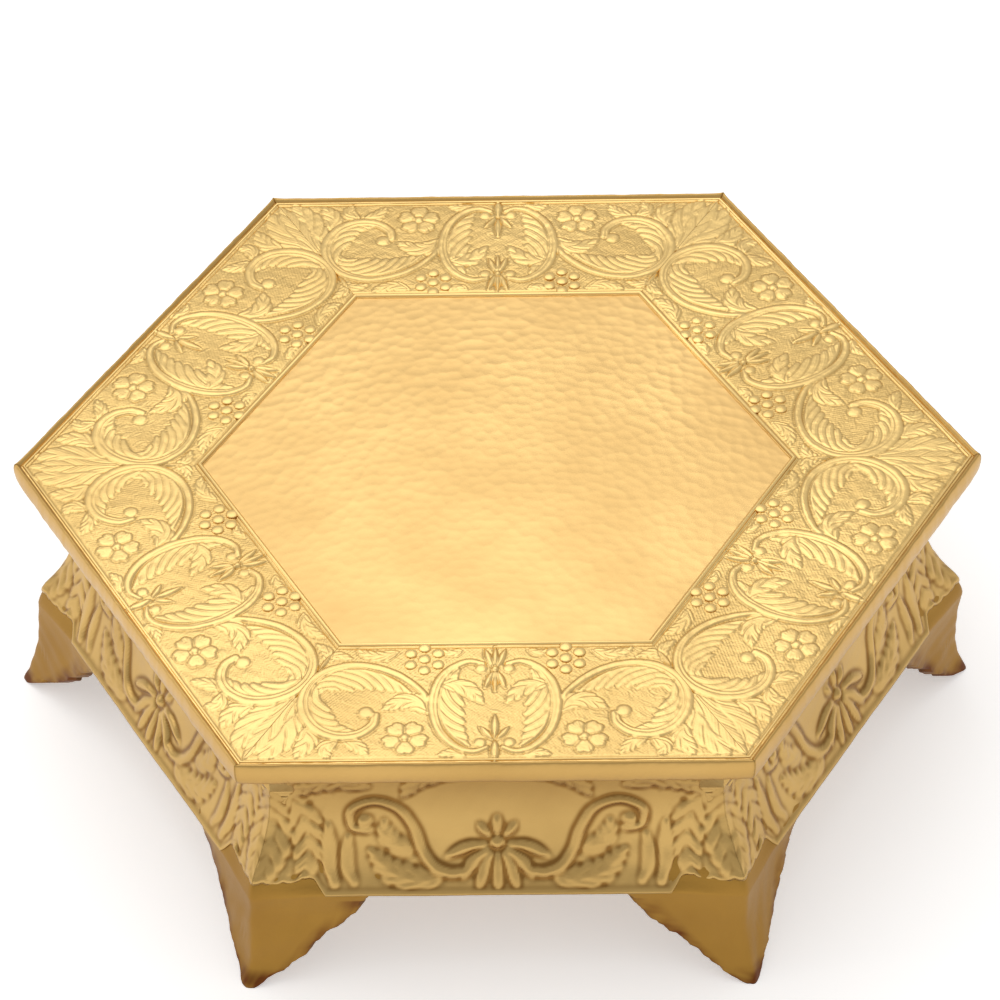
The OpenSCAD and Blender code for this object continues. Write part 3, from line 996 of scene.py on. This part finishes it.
class TRAYTABLE_OT_skirt(bpy.types.Operator):
    """Makes the six embossed skirt panels"""

    bl_idname = "tray_table.skirt"
    bl_label = "Embossed skirt"

    def execute(self, context):
        sizes = context.scene.tray_table_sizes
        step = sizes.skirt_step / MM
        rows = int((SKIRT_TOP_Z - HEM_Z) / step)
        columns = int(2 * HEM_OUT * SLOPE / step) | 1
        s = np.linspace(-1, 1, columns)[None, :]
        k = np.linspace(0, 1, rows)[:, None]
        from_corner = (1 - np.abs(s)) * HEM_OUT * SLOPE
        # The hem rises over the foot, under a leaf with a scalloped edge
        lift = np.interp(from_corner, LIFT_AT, LIFT)
        scallop = 1.6 * np.abs(np.sin(np.pi * (from_corner + 4.2) / 8.5))
        low = HEM_Z + lift - scallop * unit((27 - from_corner) / 4)
        z = low + (SKIRT_TOP_Z - low) * k
        u = cove(z)
        t = s * u * SLOPE
        ground = 0.07 * crosshatch(t, z, SKIRT_PITCH) * unit((z - HEM_Z - 4) / 3)
        relief = Relief(np.abs(t), z, ground, SKIRT_COMB)
        skirt_motif(relief)
        h = softened(relief.h.reshape(rows, columns), 2)
        # A plain hem with a chased line above it, except under the corner leaves
        plain = unit((z - HEM_Z - 1.5) / 2.5)
        corner = unit(1 - from_corner / CORNER_WIDE)
        h = SKIRT_BOLD * h * np.maximum(plain, corner) * (0.5 + 0.5 * unit(from_corner / 12))
        h += 0.5 * bell(z - low - 0.8, 1.2) * (1 - 0.6 * corner)
        # The corner leaves are crumpled, as if cast from a worn pattern
        crumple = 0.55 * lump(61, 52.0, np.abs(t), z) * unit(1.3 - from_corner / 34)
        h += crumple * unit(from_corner / 5)
        h += knee(from_corner, z)
        relief.h = h.ravel()
        # Painted shade: darker in the relief's hollows, and a painted shadow high up under the rim
        shade = unit((z - 88) / 26).ravel() * 0.5
        painted_shade = unit(relief.painted_shade((rows, columns)) + shade)
        out, up = cove_lean(z)
        for i in SIDES:
            wave = 0.3 * lump(70 + i, 60.0, t, z) * unit(from_corner / 10)
            proud = h * sizes.relief + wave
            u_face = u + proud * out
            outer = np.stack([u_face, s * u_face * SLOPE, z + proud * up * 0.5 * (k > 0)], -1)
            u_back = u - SKIRT_T
            inner = np.stack([u_back, s * u_back * SLOPE, z + 0 * u_back], -1)
            points, faces = thin_backed_slab(outer, inner)
            panel = mesh_object(f"skirt_side_{i}", turned(points, side_angle(i)), faces, finish_of("skirt"))
            store(panel, "painted_shade", np.concatenate([painted_shade, np.zeros(len(points) - len(painted_shade))]))
            point_out(panel)
            settle(panel, "skirt_brass", f"skirt_panel_{i}")
        return {"FINISHED"}


# Mesh rows and columns of a foot, how many rows are its tongue behind the skirt, and how many its sole
FOOT_ROWS = 100
FOOT_COLUMNS = 75
TONGUE_ROWS = 16
SOLE_ROWS = 6
# Half widths of a foot's toe, of its top at the hem, and of its tongue
TOE_HALF = 4
TOP_HALF = 58
TONGUE_HALF = 36
# Radius of the blunt ridge down the middle of a foot
RIDGE_R = 1.6
# How far a foot's waist is drawn in and its toe reaches past the nominal, since each was fitted by hand
STANCE = {3: (0.3, 2.0), 6: (1.8, -4.6)}
USUAL_STANCE = (1.2, 0.0)


def shank_out(z, away, waist, reach):
    """Distance out of a foot's face: within the skirt's sheet above the hem, then down to the toe."""
    below = unit(1 - z / (HEM_Z + 7))
    base = HEM_OUT - 0.5 + knee(away, HEM_Z)
    shank = base - waist * np.sin(np.pi * below) + (TOE_OUT + reach - base) * below**1.8
    high = np.maximum(z, HEM_Z)
    within = cove(high) + knee(away, high) - 0.5
    m = eased((z - HEM_Z + 9) / 15)
    deep = unit((z - HEM_Z - 14) / 8)
    return shank * (1 - m) + (within - 1.4 * deep) * m


class TRAYTABLE_OT_feet(bpy.types.Operator):
    """Makes the six cast corner feet"""

    bl_idname = "tray_table.feet"
    bl_label = "Cast feet"

    def execute(self, context):
        sizes = context.scene.tray_table_sizes
        rows, columns = FOOT_ROWS, FOOT_COLUMNS
        shank = np.linspace(0, HEM_Z + 10, rows - TONGUE_ROWS)
        z0 = np.concatenate([shank, np.linspace(HEM_Z + 12, EAR_TOP_Z, TONGUE_ROWS)])
        s = np.linspace(-1, 1, columns)[None, :]
        z = z0[:, None] + 0 * s
        spread = TOE_HALF + (TOP_HALF - TOE_HALF) * unit(z / 57) ** 0.85
        tongue = TONGUE_HALF + (TOP_HALF - TONGUE_HALF) * unit((78 - z) / 18) ** 1.5
        spread = np.where(z > 60, tongue, spread)
        for i in SIDES:
            jag = 2.2 * lump(90 + i, 22.0, z0[:, None], 3 * np.sign(s))
            edge = unit((np.abs(s) - 0.55) / 0.45)
            w = s * spread * (1 + edge * jag / np.maximum(spread, 12) * (z < HEM_Z + 6))
            away = np.sqrt(w**2 + RIDGE_R**2) - RIDGE_R * 0.4
            below = unit((HEM_Z + 3 - z) / 20)
            # Shallow flutes run down the shank, and lumps from the sand mould lie over them
            flutes = 0.2 * np.cos(away / 3.1 + 0.02 * z) * below * unit(away / 6)
            patch = np.exp(-(((z - 24) / 3.5) ** 2) - (((away - 9) / 5) ** 2))
            ripple = 0.12 * np.cos(2 * np.pi * (away + 0.3 * z) / 3.4) * patch
            curl = 1.6 * bell(z, 5.0) * unit(1 - away / 14)
            lumps = lump(130 + i, 80.0, w, z) * below
            faces_out = []
            for depth in (0.0, 1.0):
                wall = sizes.cast_wall / MM * (1 + 0.5 * edge * (z < HEM_Z)) * depth
                u = shank_out(z, away, *STANCE.get(i, USUAL_STANCE))
                u = u + (flutes + ripple + lumps + curl) * (1 - depth) - wall
                if depth:
                    # The casting is thicker at the knee, and takes in the skirt's own corner
                    behind = cove(np.maximum(z, HEM_Z)) - SKIRT_T - 0.6
                    u = np.minimum(u, behind + np.clip(HEM_Z + 6 - z, 0, 6))
                x = u / COS30 - 0.5 * away
                y = w * COS30
                faces_out.append(np.stack([x, y, z + 0 * x], -1))
            outer, inner = faces_out
            # The sole follows a broken line, but stands on the ground
            sole = 1.2 * np.abs(lump(150 + i, 26.0, w[:1])) * unit(np.abs(w[:1]) / 3 - 0.4)
            for grid in (outer, inner):
                grid[:SOLE_ROWS, :, 2] += sole[0][None, :] * np.linspace(1, 0, SOLE_ROWS)[:, None]
            points, faces = closed_slab(outer, inner)
            ear_points, ear_faces = ears(len(points))
            points = np.concatenate([points, ear_points])
            foot = mesh_object(f"cast_foot_{i}", turned(points, 60 * i), faces + ear_faces, finish_of("cast"))
            worn = unit(edge * 1.3 - 0.55) * (z < HEM_Z - 4) + unit(1.3 - z / 7)
            worn = unit(worn * (0.7 + 0.8 * lump(170 + i, 28.0, w, z)))
            back = unit(0.45 + 0.3 * edge) * (z < HEM_Z)
            store(foot, "bare", np.concatenate([worn.ravel(), back.ravel(), np.zeros(len(ear_points))]))
            point_out(foot)
            settle(foot, "cast_brass", f"corner_foot_{i}")
        return {"FINISHED"}


# Thickness of a foot's ear, how far the two plates stand in from the skirt, and their lengths
EAR_T = 3.5
EAR_PLATES = ((1.0, 36), (17.0, 28))


def ears(start):
    """The two plates of a foot that are screwed to the board, for the corner on +X."""
    low, high = EAR_TOP_Z - EAR_T, EAR_TOP_Z
    plan = []
    for inset, length in EAR_PLATES:
        corner = np.array([(UPRIGHT_OUT - SKIRT_T - inset) / COS30, 0.0])
        for side in (1, -1):
            plan.append(corner + length * np.array([-0.5, side * COS30]))
        plan.append(corner)
    a, b, c, d, e, f = plan
    outline = [a, c, b, e, f, d]
    points = np.array([(x, y, z) for z in (low, high) for x, y in outline])
    n = len(outline)
    walls = [[start + k, start + (k + 1) % n, start + n + (k + 1) % n, start + n + k] for k in range(n)]
    caps = [[start + k for k in range(n)][::-1], [start + n + k for k in range(n)]]
    return points, walls + caps


class TRAYTABLE_OT_inner_parts(bpy.types.Operator):
    """Gives the board, screws and pins their finish"""

    bl_idname = "tray_table.inner_parts"
    bl_label = "Board and screws"

    def execute(self, context):
        kind = {"backing_board": "wood"}
        kind.update(dict.fromkeys(("foot_screws", "flange_screws", "rim_pins"), "steel"))
        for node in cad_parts:
            obj = bpy.data.objects.get(node)
            if node in kind and obj:
                obj.data.materials.clear()
                obj.data.materials.append(finish_of(kind[node]))
        return {"FINISHED"}


class TRAYTABLE_OT_stage(bpy.types.Operator):
    """Makes the pale floor, the soft studio light and the camera"""

    bl_idname = "tray_table.stage"
    bl_label = "Stage"

    def execute(self, context):
        scene = context.scene
        scene.view_settings.view_transform = "Standard"
        paper = bpy.data.materials.new("matt_white_paper")
        paper.use_nodes = True
        shader = paper.node_tree.nodes["Principled BSDF"]
        shader.inputs["Base Color"].default_value = linear("#FBFAF9")
        shader.inputs["Roughness"].default_value = 0.9
        # Paper lit from below, as on a light table, so that its shadows stay faint
        shader.inputs["Emission Color"].default_value = linear("#FFFFFF")
        shader.inputs["Emission Strength"].default_value = PAPER_GLOW
        far = FLOOR_REACH
        corners = [(-far, -far, 0), (far, -far, 0), (far, far, 0), (-far, far, 0)]
        floor = mesh_object("floor", corners, [(0, 1, 2, 3)], paper, smooth=False)

        world = bpy.data.worlds.new("studio_haze")
        world.use_nodes = True
        tree = world.node_tree
        sky = tree.nodes["Background"]
        sky.inputs["Color"].default_value = linear("#FFFFFF")
        # The backdrop looks nearly white, though it gives less light than that
        seen = add_node(tree, "ShaderNodeLightPath").outputs["Is Camera Ray"]
        glow = {"Value": seen, "To Min": HAZE, "To Max": BACKDROP}
        glow = add_node(tree, "ShaderNodeMapRange", glow)
        tree.links.new(glow.outputs["Result"], sky.inputs["Strength"])
        scene.world = world

        for name, place, size, strength in SOFTBOXES:
            lamp = bpy.data.lights.new(name, "AREA")
            lamp.size = size
            lamp.energy = strength * math.pi * size**2
            light = bpy.data.objects.new(name, lamp)
            light.location = place
            light.rotation_euler = (Vector((0, 0, 0.1)) - Vector(place)).to_track_quat("-Z", "Y").to_euler()
            context.collection.objects.link(light)
        place_camera(scene)
        return {"FINISHED"}


# Strength of the light that comes from all round, and how bright the backdrop looks
HAZE = 0.6
BACKDROP = 0.94
# The floor's half width, and how much its paper glows
FLOOR_REACH = 6000
PAPER_GLOW = 0.4
# Name, place in metres, side in metres, and brightness against white paper in full light
SOFTBOXES = (
    ("overhead_softbox", (-0.25, 0.45, 1.6), 1.7, 0.95),
    ("left_softbox", (-1.5, -0.1, 0.8), 0.8, 1.1),
)
# The camera: metres from the middle of the top, degrees down, round and tilted, metres aside and down,
# focal length, and degrees that it nods down to take in the toes
VIEW_DISTANCE = 2.0237
VIEW_ELEVATION = 42.76
VIEW_HEADING = 1.186
VIEW_TILT = 1.433
VIEW_SLIDE = 0.0015
VIEW_DROP = 0.0069
VIEW_LENS = 154.3
VIEW_NOD = 0.35


def place_camera(scene):
    """A long lens that looks down at the tray from the front."""
    e, h, tilt = (math.radians(a) for a in (VIEW_ELEVATION, VIEW_HEADING, VIEW_TILT))
    nod = Matrix.Rotation(-math.radians(VIEW_NOD), 4, "X")
    right = Vector((math.cos(h), math.sin(h), 0))
    ahead = Vector((-math.sin(h) * math.cos(e), math.cos(h) * math.cos(e), -math.sin(e)))
    up = right.cross(ahead)
    aim = Vector((0, 0, TOP * MM)) + right * VIEW_SLIDE - up * VIEW_DROP
    x = right * math.cos(tilt) - up * math.sin(tilt)
    y = right * math.sin(tilt) + up * math.cos(tilt)
    turn = Matrix((x, y, -ahead)).transposed().to_4x4()
    lens = bpy.data.cameras.new("camera")
    lens.lens = VIEW_LENS
    lens.sensor_width = 36.0
    camera = bpy.data.objects.new("camera", lens)
    camera.matrix_world = Matrix.Translation(aim - ahead * VIEW_DISTANCE) @ turn @ nod
    bpy.context.collection.objects.link(camera)
    scene.camera = camera


# ---------------------------------------------------------------- panel and registration


class TRAYTABLE_PT_panel(bpy.types.Panel):
    """Lists the pieces in the order in which they are made"""

    bl_label = "Tray table"
    bl_idname = "TRAYTABLE_PT_panel"
    bl_space_type = "VIEW_3D"
    bl_region_type = "UI"
    bl_category = "Tray Table"

    def draw(self, context):
        for group in (context.scene.tray_table_sizes, context.scene.tray_table_colours):
            for name in group.__annotations__:
                self.layout.prop(group, name)
        for operator in OPERATORS:
            self.layout.operator(operator.bl_idname)


OPERATORS = (
    TRAYTABLE_OT_stage,
    TRAYTABLE_OT_hammered_centre,
    TRAYTABLE_OT_border,
    TRAYTABLE_OT_beads,
    TRAYTABLE_OT_rim,
    TRAYTABLE_OT_skirt,
    TRAYTABLE_OT_feet,
    TRAYTABLE_OT_inner_parts,
)
CLASSES = (TrayTableSizes, TrayTableColours, *OPERATORS, TRAYTABLE_PT_panel)


def register():
    for cls in CLASSES:
        bpy.utils.register_class(cls)
    bpy.types.Scene.tray_table_sizes = bpy.props.PointerProperty(type=TrayTableSizes)
    bpy.types.Scene.tray_table_colours = bpy.props.PointerProperty(type=TrayTableColours)


def unregister():
    del bpy.types.Scene.tray_table_colours
    del bpy.types.Scene.tray_table_sizes
    for cls in reversed(CLASSES):
        bpy.utils.unregister_class(cls)


def main():
    register()
    for operator in OPERATORS:
        group, name = operator.bl_idname.split(".")
        getattr(getattr(bpy.ops, group), name)()


if __name__ == "__main__":
    main()
